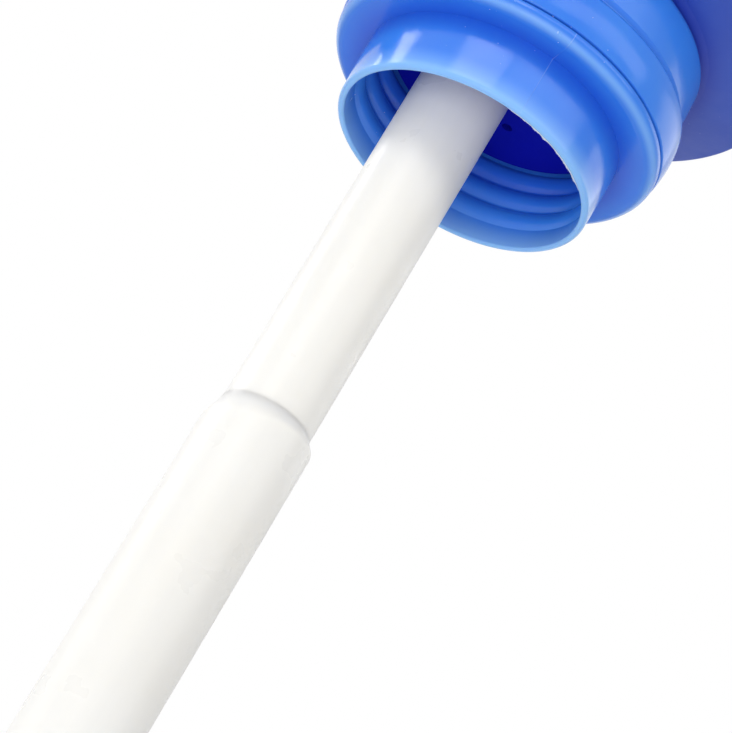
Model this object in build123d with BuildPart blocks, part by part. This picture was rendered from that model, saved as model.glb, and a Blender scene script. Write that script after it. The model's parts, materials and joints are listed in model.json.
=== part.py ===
"""Hand-press pump for a bottled-water carboy, in millimetres.

A collar drops over the bottle's neck, and a gasket in its roof seals on the neck's rim. Pressing the
cap squeezes the bellows, which pushes air through a valve in the housing's deck into the bottle. The
pressure lifts water up the telescoping tube, through the housing and out of the spout. A push button
lets the pressure out again.

The origin is the centre of the collar's mouth. +Z points up the pump's axis, +X towards the spout.
The tube hangs below, off the axis by tube_offset, because the air valve needs room beside it.
"""

import os

from build123d import *

os.makedirs("parts", exist_ok=True)

# ---------------------------------------------------------------- driving dimensions
fit = 0.05  # radial clearance of a guided or sealed fit

# collar over the bottle's neck
neck_bore = 29.3
neck_wall = 1.7
rib_height = 1.2
rib_round = 2.8
rib_half_width = 2.6
rib_crest_half_width = 1.1
rib_heights = (8.1, 13.6, 19.1)
shoulder_z = 15.3
shoulder_radius = 40.2
collar_top = 19.2
spigot_radius = 37.0
spigot_wall = 2.2
spigot_top = 24.2
snap_bead = 0.4

# housing
deck_bottom = 24.4
deck_top = 27.4
housing_bottom = 19.5
barrel_radius = 40.95
barrel_top = 29.6
groove_radius = 38.2
groove_end_z = 31.3
band_radius = 38.8
band_start_z = 32.4
housing_top = 45.2
housing_inner = 36.4
ledge_bottom = 37.2
ledge_top = 38.6
ledge_inner = 33.4
bellows_seat = 36.05

# neck gasket
gasket_bottom = 21.7
gasket_lip = 1.2  # thickness over the end of the tube's socket

# telescoping tube
tube_offset = 7.4
tube_length = 195.0
upper_outer = 10.5
upper_wall = 1.5
middle_outer = 12.4
middle_wall = 1.4
lower_outer = 14.3
lower_wall = 1.4
tube_stop_z = 28.4
middle_top = -79.5
lower_top = -253.0
foot_height = 14.0

# spout
spout_z = 33.0
spout_outer = 6.6
spout_bore = 4.2
spout_socket_end = 54.0
spout_reach = 100.0
spout_bend = 28.0
spout_end_z = -1.0

# vent button
vent_x = -5.0
vent_z = 31.6

# bellows and press head
bellows_wall = 1.3
pleat_crest = 55.1
pleat_root = 43.5
pleat_pitch = 13.0
pleat_count = 5
first_crest_z = 51.0
plate_bottom = 117.5
plate_top = 119.5
cap_radius = 52.6
cap_bottom = 112.0
cap_top = 135.0
crown_sphere = 190.0
guide_inner = 6.5
sleeve_top = 86.5
stem_bottom = 74.5
screw_circle = 29.0
inlet_valve_y = -24.0

# ---------------------------------------------------------------- shared places
pump_axis = Axis.Z
tube_axis = Axis((tube_offset, 0, 0), (0, 0, 1))
tube_plane = Plane(origin=(tube_offset, 0, 0), x_dir=(1, 0, 0), z_dir=(0, -1, 0))
spout_axis = Axis((0, 0, spout_z), (1, 0, 0))
spout_plane = Plane(origin=(0, 0, spout_z), x_dir=(1, 0, 0), z_dir=(0, -1, 0))
vent_axis = Axis((vent_x, 0, vent_z), (0, 1, 0))
vent_plane = Plane(origin=(vent_x, 0, vent_z), x_dir=(0, 1, 0), z_dir=(1, 0, 0))


def dome_z(radius, top_z):
    """Height of the crown's sphere at a distance from the pump's axis."""
    return top_z - crown_sphere + (crown_sphere**2 - radius**2) ** 0.5


def corner(sketch, across, along):
    """The profile's vertex nearest to a place in the sketch's own axes."""
    return sketch.vertices().sort_by_distance((across, along, 0))[0]


# ---------------------------------------------------------------- collar
neck_outer = neck_bore + neck_wall
skirt_draft = 0.3
skirt_top_radius = neck_outer + skirt_draft
flange_under_z = shoulder_z + 0.1
flange_top = shoulder_z + 2.2
bead_z = 21.8
bead_height = 0.8
lip_round = 0.9
shoulder_round = 2.8
edge_round = 0.35

with BuildPart() as neck_collar:
    with BuildSketch(Plane.XZ) as profile:
        with BuildLine():
            Polyline(
                (neck_bore, 0),
                (neck_outer, 0),
                (skirt_top_radius, shoulder_z),
                (shoulder_radius, flange_under_z),
                (shoulder_radius, collar_top),
                (spigot_radius, collar_top),
                (spigot_radius, bead_z - snap_bead),
                (spigot_radius + snap_bead, bead_z),
                (spigot_radius + snap_bead, bead_z + bead_height),
                (spigot_radius, bead_z + bead_height + snap_bead),
                (spigot_radius, spigot_top),
                (spigot_radius - spigot_wall, spigot_top),
                (spigot_radius - spigot_wall, flange_top),
                (skirt_top_radius, flange_top),
                (skirt_top_radius, spigot_top),
                (neck_bore, spigot_top),
                close=True,
            )
        make_face()
        fillet(corner(profile, neck_outer, 0), lip_round)
        fillet(corner(profile, neck_bore, 0), edge_round)
        fillet(corner(profile, skirt_top_radius, shoulder_z), lip_round)
        fillet(corner(profile, shoulder_radius, flange_under_z), shoulder_round)
        fillet(corner(profile, shoulder_radius, collar_top), edge_round)
    revolve(axis=pump_axis)
    for rib_z in rib_heights:
        with BuildSketch(Plane.XZ) as rib:
            with BuildLine():
                Polyline(
                    (neck_bore + fit, rib_z - rib_half_width),
                    (neck_bore - rib_height, rib_z - rib_crest_half_width),
                    (neck_bore - rib_height, rib_z + rib_crest_half_width),
                    (neck_bore + fit, rib_z + rib_half_width),
                    close=True,
                )
            make_face()
            fillet(corner(rib, neck_bore - rib_height, rib_z - rib_crest_half_width), rib_round)
            fillet(corner(rib, neck_bore - rib_height, rib_z + rib_crest_half_width), rib_round)
        revolve(axis=pump_axis)
neck_collar.part.label = "neck_collar"
export_step(neck_collar.part, "parts/neck_collar.step")

# ---------------------------------------------------------------- valve housing
groove_wall = spigot_radius + fit + snap_bead
barrel_bulge = 0.65
barrel_round = 0.9
housing_round = 2.2
socket_outer = 13.2
socket_bottom = gasket_bottom + gasket_lip
socket_top = tube_stop_z + 1.2
socket_bore = upper_outer + fit
riser_outer = 10.8
riser_bore = 8.8
riser_bore_top = 38.0
riser_top = 39.8
o_ring_groove_z = 24.2
o_ring_groove_height = 1.8
o_ring_groove_radius = 12.15
pipe_outer = 5.5
pipe_bore = 4.3
boss_start_x = 38.0
boss_outer = 8.0
spigot_start_x = 44.0
spigot_bore = 6.05
valve_x = -13.4
valve_hole = 1.5
air_hole = 1.1
air_hole_circle = 3.6
vent_boss_outer = 6.4
vent_boss_end = -29.5
vent_inner_outer = 5.6
vent_inner_end = -10.0
vent_surround = -41.6
vent_counterbore = 4.9
vent_counterbore_end = -31.0
vent_stem_bore = 2.2
vent_seat_y = -20.0
vent_chamber = 3.9
vent_passage_y = -12.8
vent_passage = 1.1
thread_radius = 8.5
thread_pitch = 2.2
thread_turns = 3
thread_start = 1.6

with BuildPart() as valve_housing:
    # outer wall: a barrel-shaped band, a shallow groove, a plain band and a rounded top
    with BuildSketch(Plane.XZ) as profile:
        with BuildLine():
            Line((0, deck_bottom), (spigot_radius + fit, deck_bottom))
            Polyline(
                (spigot_radius + fit, deck_bottom),
                (spigot_radius + fit, bead_z + bead_height + snap_bead),
                (groove_wall, bead_z + bead_height),
                (groove_wall, bead_z),
                (spigot_radius + fit, bead_z - snap_bead),
                (spigot_radius + fit, housing_bottom),
                (barrel_radius - barrel_bulge, housing_bottom),
            )
            ThreePointArc(
                (barrel_radius - barrel_bulge, housing_bottom),
                (barrel_radius, (housing_bottom + barrel_top) / 2),
                (barrel_radius - barrel_bulge / 2, barrel_top),
            )
            Polyline(
                (barrel_radius - barrel_bulge / 2, barrel_top),
                (groove_radius, barrel_top + edge_round),
                (groove_radius, groove_end_z),
                (band_radius, band_start_z),
                (band_radius, housing_top),
                (bellows_seat, housing_top),
                (bellows_seat, ledge_top),
                (ledge_inner, ledge_top),
                (ledge_inner, ledge_bottom),
                (housing_inner, ledge_bottom),
                (housing_inner, deck_top),
                (0, deck_top),
                (0, deck_bottom),
            )
        make_face()
        fillet(corner(profile, barrel_radius - barrel_bulge, housing_bottom), edge_round)
        fillet(corner(profile, barrel_radius - barrel_bulge / 2, barrel_top), barrel_round)
        fillet(corner(profile, band_radius, housing_top), housing_round)
    revolve(axis=pump_axis)
    # socket for the tube below the deck, riser above it
    with BuildSketch(Plane.XY.offset(socket_bottom)):
        with Locations((tube_offset, 0)):
            Circle(socket_outer)
    extrude(amount=socket_top - socket_bottom)
    with BuildSketch(Plane.XY.offset(deck_bottom)):
        with Locations((tube_offset, 0)):
            Circle(riser_outer)
    extrude(amount=riser_top - deck_bottom)
    # water pipe from the riser through the wall, and the threaded spout socket outside it
    with BuildSketch(spout_plane):
        with Locations(((tube_offset + housing_inner) / 2, pipe_outer / 2)):
            Rectangle(housing_inner - tube_offset, pipe_outer)
        with Locations(((boss_start_x + spout_socket_end) / 2, boss_outer / 2)):
            Rectangle(spout_socket_end - boss_start_x, boss_outer)
        for turn in range(thread_turns):
            with Locations((spout_socket_end - thread_start - turn * thread_pitch, boss_outer)):
                Rectangle(thread_pitch / 2, 2 * (thread_radius - boss_outer))
    revolve(axis=spout_axis)
    # vent boss through the wall
    with BuildSketch(vent_plane):
        with Locations(((vent_surround + vent_boss_end) / 2, vent_boss_outer / 2)):
            Rectangle(vent_boss_end - vent_surround, vent_boss_outer)
        with Locations(((vent_boss_end + vent_inner_end) / 2, vent_inner_outer / 2)):
            Rectangle(vent_inner_end - vent_boss_end, vent_inner_outer)
    revolve(axis=vent_axis)
    # tube socket, its O-ring groove and the riser's bore
    with BuildSketch(tube_plane):
        with BuildLine():
            Polyline(
                (0, socket_bottom),
                (socket_bore, socket_bottom),
                (socket_bore, o_ring_groove_z),
                (o_ring_groove_radius, o_ring_groove_z),
                (o_ring_groove_radius, o_ring_groove_z + o_ring_groove_height),
                (socket_bore, o_ring_groove_z + o_ring_groove_height),
                (socket_bore, tube_stop_z),
                (riser_bore, tube_stop_z),
                (riser_bore, riser_bore_top),
                (0, riser_bore_top),
                close=True,
            )
        make_face()
    revolve(axis=tube_axis, mode=Mode.SUBTRACT)
    # water pipe and spout socket bores
    with BuildSketch(spout_plane):
        with BuildLine():
            Polyline(
                (tube_offset, 0),
                (spout_socket_end, 0),
                (spout_socket_end, spigot_bore),
                (spigot_start_x, spigot_bore),
                (spigot_start_x, pipe_bore),
                (tube_offset, pipe_bore),
                close=True,
            )
        make_face()
    revolve(axis=spout_axis, mode=Mode.SUBTRACT)
    # vent bores: button well, stem bore, valve chamber, and the passage down to the bottle
    with BuildSketch(vent_plane):
        with BuildLine():
            Polyline(
                (vent_surround, 0),
                (vent_surround, vent_counterbore),
                (vent_counterbore_end, vent_counterbore),
                (vent_counterbore_end, vent_stem_bore),
                (vent_seat_y, vent_stem_bore),
                (vent_seat_y, vent_chamber),
                (vent_inner_end, vent_chamber),
                (vent_inner_end, 0),
                close=True,
            )
        make_face()
    revolve(axis=vent_axis, mode=Mode.SUBTRACT)
    with BuildSketch(Plane.XY.offset(deck_bottom)):
        with Locations((vent_x, vent_passage_y)):
            Circle(vent_passage)
    extrude(amount=vent_z - deck_bottom, mode=Mode.SUBTRACT)
    # air valve: stem hole and the ring of air holes
    with BuildSketch(Plane.XY.offset(deck_bottom)):
        with Locations((valve_x, 0)):
            Circle(valve_hole)
            with PolarLocations(air_hole_circle, 6):
                Circle(air_hole)
    extrude(amount=deck_top - deck_bottom, mode=Mode.SUBTRACT)
valve_housing.part.label = "valve_housing"
export_step(valve_housing.part, "parts/valve_housing.step")

# ---------------------------------------------------------------- neck gasket
# a disc under the whole deck, with holes for the tube, the air valve and the vent
gasket_radius = neck_bore - 0.1
gasket_play = 0.1
gasket_chamfer = 1.3  # keeps the sealing face inside the ribs
valve_window = 6.8
vent_window = 1.3

with BuildPart() as neck_gasket:
    with BuildSketch(Plane.XY.offset(gasket_bottom)):
        Circle(gasket_radius)
        with Locations((tube_offset, 0)):
            Circle(upper_outer + gasket_play, mode=Mode.SUBTRACT)
        with Locations((valve_x, 0)):
            Circle(valve_window, mode=Mode.SUBTRACT)
        with Locations((vent_x, vent_passage_y)):
            Circle(vent_window, mode=Mode.SUBTRACT)
    extrude(amount=deck_bottom - gasket_bottom)
    rim_edges = neck_gasket.edges().filter_by(GeomType.CIRCLE).group_by(Axis.Z)[0]
    chamfer(rim_edges.sort_by(SortBy.RADIUS)[-1], gasket_chamfer)
    with BuildSketch(Plane.XY.offset(socket_bottom)):
        with Locations((tube_offset, 0)):
            Circle(socket_outer + gasket_play)
    extrude(amount=deck_bottom - socket_bottom, mode=Mode.SUBTRACT)
neck_gasket.part.label = "neck_gasket"
export_step(neck_gasket.part, "parts/neck_gasket.step")

# ---------------------------------------------------------------- umbrella valves
umbrella_places = {
    "air_check_valve": (valve_x, 0, deck_bottom, deck_top - deck_bottom),
    "inlet_valve": (0, inlet_valve_y, plate_bottom, plate_top - plate_bottom),
}
umbrella_radius = 6.0
umbrella_lip = 0.5
umbrella_hub = 1.7
umbrella_bulb = 1.9
umbrella_rim = 1.2
barb_point = 0.9
barb_length = 2.6
seat_gap = 0.05

for name, (x, y, z, plate) in umbrella_places.items():
    with BuildPart() as umbrella:
        with BuildSketch(Plane(origin=(x, y, z), x_dir=(1, 0, 0), z_dir=(0, -1, 0))):
            with BuildLine():
                Polyline(
                    (0, -umbrella_hub),
                    (umbrella_bulb, -umbrella_hub),
                    (umbrella_radius, -umbrella_lip - 0.1),
                    (umbrella_radius, -seat_gap),
                    (umbrella_radius - umbrella_rim, -seat_gap),
                    (valve_hole - 0.1, -umbrella_lip),
                    (valve_hole - 0.1, plate + seat_gap),
                    (umbrella_bulb, plate + seat_gap),
                    (umbrella_bulb, plate + barb_point),
                    (barb_point, plate + barb_length),
                    (0, plate + barb_length),
                    close=True,
                )
            make_face()
        revolve(axis=Axis((x, y, z), (0, 0, 1)))
    umbrella.part.label = name
    export_step(umbrella.part, f"parts/{name}.step")

# ---------------------------------------------------------------- telescoping tube
bead_length = 8.0
ring_groove = 1.4
ring_wall = 0.65
slide_play = 0.06
throat_length = 5.0
throat_cone = 1.2
mouth_round = 0.7


def tube_profile(outer, wall, top, bottom, throat, bead, groove):
    """Half section of one tube. throat narrows its top to grip the tube above, bead swells its foot."""
    inner = outer - wall
    if throat is None:
        head = [(inner, top), (outer, top)]
    else:
        head = [
            (inner, top - throat_length - throat_cone),
            (throat, top - throat_length),
            (throat, top),
            (throat + mouth_round / 2, top),
            (throat + mouth_round, top - mouth_round),
            (outer - slide_play, top - throat_length + throat_cone),
            (outer, top - throat_length - throat_cone),
        ]
    if bead is None:
        foot = [(outer, bottom), (inner, bottom)]
    else:
        groove_top = bottom + bead_length / 2 + ring_groove / 2
        foot = [
            (outer, bottom + bead_length + 0.6),
            (bead, bottom + bead_length),
            (bead, groove_top),
            (groove, groove_top),
            (groove, groove_top - ring_groove),
            (bead, groove_top - ring_groove),
            (bead, bottom),
            (inner, bottom),
        ]
    return head + foot


upper_inner = upper_outer - upper_wall
middle_inner = middle_outer - middle_wall
lower_inner = lower_outer - lower_wall
upper_top = tube_stop_z - 0.2
upper_bottom = upper_top - tube_length
middle_bottom = middle_top - tube_length
lower_bottom = lower_top - tube_length
tube_sections = {
    "upper_tube": tube_profile(
        upper_outer, upper_wall, upper_top, upper_bottom,
        None, middle_inner - slide_play, upper_inner + ring_wall,
    ),
    "middle_tube": tube_profile(
        middle_outer, middle_wall, middle_top, middle_bottom,
        upper_outer + slide_play, lower_inner - slide_play, middle_inner + ring_wall,
    ),
    "lower_tube": tube_profile(
        lower_outer, lower_wall, lower_top, lower_bottom,
        middle_outer + slide_play, None, None,
    ),
}
for name, outline in tube_sections.items():
    with BuildPart() as tube:
        with BuildSketch(tube_plane):
            with BuildLine():
                Polyline(*outline, close=True)
            make_face()
        revolve(axis=tube_axis)
    tube.part.label = name
    export_step(tube.part, f"parts/{name}.step")

# ---------------------------------------------------------------- foot of the tube
foot_bore = 10.5
foot_spigot = 8.0
foot_round = 1.2
notch_width = 5.0
notch_height = 5.0
notch_reach = 3 * lower_outer

with BuildPart() as tube_foot:
    with BuildSketch(tube_plane) as profile:
        with BuildLine():
            Polyline(
                (foot_bore, lower_bottom - foot_height),
                (lower_outer, lower_bottom - foot_height),
                (lower_outer, lower_bottom),
                (lower_inner, lower_bottom),
                (lower_inner, lower_bottom + foot_spigot),
                (foot_bore, lower_bottom + foot_spigot),
                close=True,
            )
        make_face()
        fillet(corner(profile, lower_outer, lower_bottom - foot_height), foot_round)
    revolve(axis=tube_axis)
    with BuildSketch(Plane.XY.offset(lower_bottom - foot_height)):
        with Locations((tube_offset, 0)):
            Rectangle(notch_reach, notch_width)
            Rectangle(notch_width, notch_reach)
    extrude(amount=notch_height, mode=Mode.SUBTRACT)
tube_foot.part.label = "tube_foot"
export_step(tube_foot.part, "parts/tube_foot.step")

# ---------------------------------------------------------------- spout
flange_start = spout_socket_end + 0.25
flange_end = spout_socket_end + 1.55
flange_radius = 7.6
spigot_length_start = spigot_start_x + 0.4
spigot_outer = spigot_bore - fit
spout_groove_x = 48.0
spout_groove_width = 1.5
spout_groove_radius = 4.9

with BuildPart() as spout_elbow:
    with BuildLine() as centre_line:
        FilletPolyline(
            (flange_end - 0.5, 0, spout_z),
            (spout_reach, 0, spout_z),
            (spout_reach, 0, spout_end_z),
            radius=spout_bend,
        )
    with BuildSketch(Plane(origin=centre_line.line @ 0, z_dir=centre_line.line % 0)):
        Circle(spout_outer)
    sweep(path=centre_line.line)
    with BuildSketch(spout_plane):
        with BuildLine():
            Polyline(
                (spigot_length_start, 0),
                (spigot_length_start, spigot_outer),
                (spout_groove_x, spigot_outer),
                (spout_groove_x, spout_groove_radius),
                (spout_groove_x + spout_groove_width, spout_groove_radius),
                (spout_groove_x + spout_groove_width, spigot_outer),
                (flange_start, spigot_outer),
                (flange_start, flange_radius),
                (flange_end, flange_radius),
                (flange_end, 0),
                close=True,
            )
        make_face()
    revolve(axis=spout_axis)
    with BuildLine() as water_line:
        FilletPolyline(
            (spigot_length_start, 0, spout_z),
            (spout_reach, 0, spout_z),
            (spout_reach, 0, spout_end_z),
            radius=spout_bend,
        )
    with BuildSketch(Plane(origin=water_line.line @ 0, z_dir=water_line.line % 0)):
        Circle(spout_bore)
    sweep(path=water_line.line, mode=Mode.SUBTRACT)
spout_elbow.part.label = "spout_elbow"
export_step(spout_elbow.part, "parts/spout_elbow.step")

# union nut that holds the spout's flange on its socket
nut_start = 46.6
nut_end = 57.4
nut_radius = 9.7
nut_face = spout_socket_end + 1.8
nut_ribs = 18
nut_rib_radius = 0.45
nut_play = 0.1
nut_hole = spout_outer + 0.3
nut_front_round = 1.0
nut_back_round = 0.6
nut_rib_start = nut_start + 1.2
nut_rib_length = 7.8

with BuildPart() as spout_nut:
    with BuildSketch(spout_plane) as profile:
        with BuildLine():
            Polyline(
                (nut_start, thread_radius + nut_play),
                (nut_start, nut_radius),
                (nut_end, nut_radius),
                (nut_end, nut_hole),
                (nut_face, nut_hole),
                (nut_face, thread_radius + nut_play),
                close=True,
            )
        make_face()
        fillet(corner(profile, nut_end, nut_radius), nut_front_round)
        fillet(corner(profile, nut_start, nut_radius), nut_back_round)
    revolve(axis=spout_axis)
    with BuildSketch(Plane(origin=(nut_rib_start, 0, spout_z), z_dir=(1, 0, 0))):
        with PolarLocations(nut_radius, nut_ribs):
            Circle(nut_rib_radius)
    extrude(amount=nut_rib_length)
spout_nut.part.label = "spout_nut"
export_step(spout_nut.part, "parts/spout_nut.step")

# white nozzle pushed over the spout's end
tip_plane = Plane(origin=(spout_reach, 0, 0), x_dir=(1, 0, 0), z_dir=(0, -1, 0))
tip_axis = Axis((spout_reach, 0, 0), (0, 0, 1))
tip_top = spout_end_z + 9.0
tip_bottom = spout_end_z - 6.0
tip_outer = 7.6
tip_bore = 4.9
tip_collar = 8.6
tip_collar_height = 3.0
tip_step = 0.5
tip_round = 0.6

with BuildPart() as spout_tip:
    with BuildSketch(tip_plane) as profile:
        with BuildLine():
            Polyline(
                (tip_bore, tip_bottom),
                (tip_outer, tip_bottom),
                (tip_outer, tip_top - tip_collar_height - tip_step),
                (tip_collar, tip_top - tip_collar_height),
                (tip_collar, tip_top),
                (spout_outer, tip_top),
                (spout_outer, spout_end_z),
                (tip_bore, spout_end_z),
                close=True,
            )
        make_face()
        fillet(corner(profile, tip_outer, tip_bottom), tip_round)
        fillet(corner(profile, tip_collar, tip_top), tip_round)
    revolve(axis=tip_axis)
spout_tip.part.label = "spout_tip"
export_step(spout_tip.part, "parts/spout_tip.step")

# ---------------------------------------------------------------- O-rings
ring_z = {
    "riser_o_ring": o_ring_groove_z + o_ring_groove_height / 2,
    "upper_tube_o_ring": upper_bottom + bead_length / 2,
    "middle_tube_o_ring": middle_bottom + bead_length / 2,
}
riser_ring_wire = 0.77
tube_ring_wire = 0.6
ring_shapes = {
    "riser_o_ring": (upper_outer + riser_ring_wire + fit, riser_ring_wire),
    "upper_tube_o_ring": (middle_inner - tube_ring_wire - fit, tube_ring_wire),
    "middle_tube_o_ring": (lower_inner - tube_ring_wire - fit, tube_ring_wire),
}
for name, (ring_radius, section_radius) in ring_shapes.items():
    with BuildPart(Plane.XY.offset(ring_z[name])) as ring:
        with Locations((tube_offset, 0, 0)):
            Torus(ring_radius, section_radius)
    ring.part.label = name
    export_step(ring.part, f"parts/{name}.step")

spout_ring_x = spout_groove_x + spout_groove_width / 2
spout_ring_wire = 0.55
with BuildPart(Plane(origin=(spout_ring_x, 0, spout_z), z_dir=(1, 0, 0))) as spout_o_ring:
    Torus(spigot_bore - spout_ring_wire - fit, spout_ring_wire)
spout_o_ring.part.label = "spout_o_ring"
export_step(spout_o_ring.part, "parts/spout_o_ring.step")

# ---------------------------------------------------------------- vent button
button_radius = 4.6
button_face = -43.4
button_back = -37.6
stem_radius = 1.6
poppet_radius = 3.2
poppet_length = 2.0
poppet_start = vent_seat_y + 0.1
pin_radius = 1.0
pin_end = vent_seat_y + 2.8
button_round = 1.2
plug_length = 1.6
knob_radius = 2.4
knob_length = 1.2

with BuildPart() as vent_button:
    with BuildSketch(vent_plane) as profile:
        with BuildLine():
            Polyline(
                (button_face, 0),
                (button_face, button_radius),
                (button_back, button_radius),
                (button_back, stem_radius),
                (poppet_start, stem_radius),
                (poppet_start, pin_radius),
                (pin_end, pin_radius),
                (pin_end, 0),
                close=True,
            )
        make_face()
        fillet(corner(profile, button_face, button_radius), button_round)
    revolve(axis=vent_axis)
vent_button.part.label = "vent_button"
export_step(vent_button.part, "parts/vent_button.step")

with BuildPart() as vent_poppet:
    with BuildSketch(vent_plane):
        with Locations((poppet_start + poppet_length / 2, (pin_radius + poppet_radius) / 2)):
            Rectangle(poppet_length, poppet_radius - pin_radius)
    revolve(axis=vent_axis)
vent_poppet.part.label = "vent_poppet"
export_step(vent_poppet.part, "parts/vent_poppet.step")

with BuildPart() as vent_plug:
    with BuildSketch(vent_plane):
        with BuildLine():
            Polyline(
                (vent_inner_end - plug_length, 0),
                (vent_inner_end - plug_length, vent_chamber),
                (vent_inner_end, vent_chamber),
                (vent_inner_end, knob_radius),
                (vent_inner_end + knob_length, knob_radius),
                (vent_inner_end + knob_length, 0),
                close=True,
            )
        make_face()
    revolve(axis=vent_axis)
vent_plug.part.label = "vent_plug"
export_step(vent_plug.part, "parts/vent_plug.step")

# ---------------------------------------------------------------- springs
spring_gap = 0.05
vent_wire = 0.3
vent_coil_radius = 3.1
vent_turns = 4
vent_coil_height = vent_counterbore_end - button_back - 2 * vent_wire - 2 * spring_gap

with BuildPart() as vent_spring:
    with BuildLine() as coil:
        Helix(
            pitch=vent_coil_height / vent_turns,
            height=vent_coil_height,
            radius=vent_coil_radius,
            center=(vent_x, button_back + vent_wire + spring_gap, vent_z),
            direction=(0, 1, 0),
        )
    with BuildSketch(Plane(origin=coil.line @ 0, z_dir=coil.line % 0)):
        Circle(vent_wire)
    sweep(path=coil.line)
vent_spring.part.label = "vent_spring"
export_step(vent_spring.part, "parts/vent_spring.step")

web_top = 43.5
wire_radius = 0.8
coil_radius = 11.5
coil_turns = 8
coil_height = plate_bottom - web_top - 2 * wire_radius - 2 * spring_gap

with BuildPart() as return_spring:
    with BuildLine() as coil:
        Helix(
            pitch=coil_height / coil_turns,
            height=coil_height,
            radius=coil_radius,
            center=(0, 0, web_top + wire_radius + spring_gap),
        )
    with BuildSketch(Plane(origin=coil.line @ 0, z_dir=coil.line % 0)):
        Circle(wire_radius)
    sweep(path=coil.line)
return_spring.part.label = "return_spring"
export_step(return_spring.part, "parts/return_spring.step")

# ---------------------------------------------------------------- guide plate and sleeve
web_bottom = 41.5
plate_rim_outer = 34.6
plate_rim_inner = 32.2
sleeve_outer = 8.3
slot_circle = 22.5
slot_count = 8
slot_length = 13.0
slot_width = 5.0
plate_rim_top = housing_top - 0.7

with BuildPart() as guide_plate:
    with BuildSketch(Plane.XZ):
        with BuildLine():
            Polyline(
                (guide_inner, web_bottom),
                (plate_rim_inner, web_bottom),
                (plate_rim_inner, ledge_top),
                (plate_rim_outer, ledge_top),
                (plate_rim_outer, plate_rim_top),
                (plate_rim_inner, plate_rim_top),
                (plate_rim_inner, web_top),
                (sleeve_outer, web_top),
                (sleeve_outer, sleeve_top),
                (guide_inner, sleeve_top),
                close=True,
            )
        make_face()
    revolve(axis=pump_axis)
    with BuildSketch(Plane.XY.offset(web_bottom)):
        with PolarLocations(slot_circle, slot_count):
            SlotOverall(slot_length, slot_width)
    extrude(amount=web_top - web_bottom, mode=Mode.SUBTRACT)
guide_plate.part.label = "guide_plate"
export_step(guide_plate.part, "parts/guide_plate.step")

# ---------------------------------------------------------------- bellows
neck_out = bellows_seat - fit
neck_in = neck_out - bellows_wall
waist_z = housing_top + 0.6
last_crest_z = first_crest_z + (pleat_count - 1) * pleat_pitch
top_neck_out = 43.1
top_neck_in = top_neck_out - bellows_wall
top_neck_z = last_crest_z + 7.0
bellows_top = plate_bottom + 0.9
bellows_bottom = ledge_top + fit
waist_flare = 2.2
waist_rise = 1.0
crest_half_height = 0.85
crest_round = 1.1
crest_wall = 1.8 * bellows_wall

outer_wall = [
    (neck_out, bellows_bottom),
    (neck_out, waist_z),
    (neck_out + waist_flare, waist_z + waist_rise),
]
for pleat in range(pleat_count):
    crest_z = first_crest_z + pleat * pleat_pitch
    outer_wall.append((pleat_crest, crest_z - crest_half_height))
    outer_wall.append((pleat_crest, crest_z + crest_half_height))
    if pleat < pleat_count - 1:
        outer_wall.append((pleat_root, crest_z + pleat_pitch / 2))
outer_wall += [(top_neck_out, top_neck_z), (top_neck_out, bellows_top)]
inner_wall = [
    (neck_in, bellows_bottom),
    (neck_in, waist_z + waist_rise / 2),
    (neck_in + waist_flare, waist_z + 2 * waist_rise),
]
for pleat in range(pleat_count):
    crest_z = first_crest_z + pleat * pleat_pitch
    inner_wall.append((pleat_crest - crest_wall, crest_z))
    if pleat < pleat_count - 1:
        inner_wall.append((pleat_root - bellows_wall, crest_z + pleat_pitch / 2))
inner_wall += [(top_neck_in, top_neck_z - waist_rise / 2), (top_neck_in, bellows_top)]

with BuildPart() as bellows:
    with BuildSketch(Plane.XZ) as profile:
        with BuildLine():
            Polyline(*outer_wall, *reversed(inner_wall), close=True)
        make_face()
        crests = profile.vertices().filter_by(lambda vertex: vertex.X > pleat_crest - fit)
        fillet(crests, crest_round)
    revolve(axis=pump_axis)
bellows.part.label = "bellows"
export_step(bellows.part, "parts/bellows.step")

# ---------------------------------------------------------------- press cap
cap_wall = 2.4
ring_inner = top_neck_out + 0.05
ring_outer = ring_inner + 2.0
ring_bottom = 113.5
ring_lip = 3.0
ceiling_z = 127.6
ceiling_edge_z = ceiling_z - 4.0
ceiling_ring_z = ceiling_z - 2.2
crown_round = 6.5
cap_hem_round = 1.0
crown_edge_z = dome_z(cap_radius, cap_top)
pad_radius = 33.0
pad_recess_z = 130.6
boss_radius = 3.6
pilot_radius = 1.2
pilot_depth = 6.0
screw_count = 3
first_screw = -30
breather_count = 4
first_breather = 45
breather_z = 122.8
breather_radius = 1.5
breather_reach = ring_outer + 1.0

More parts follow.
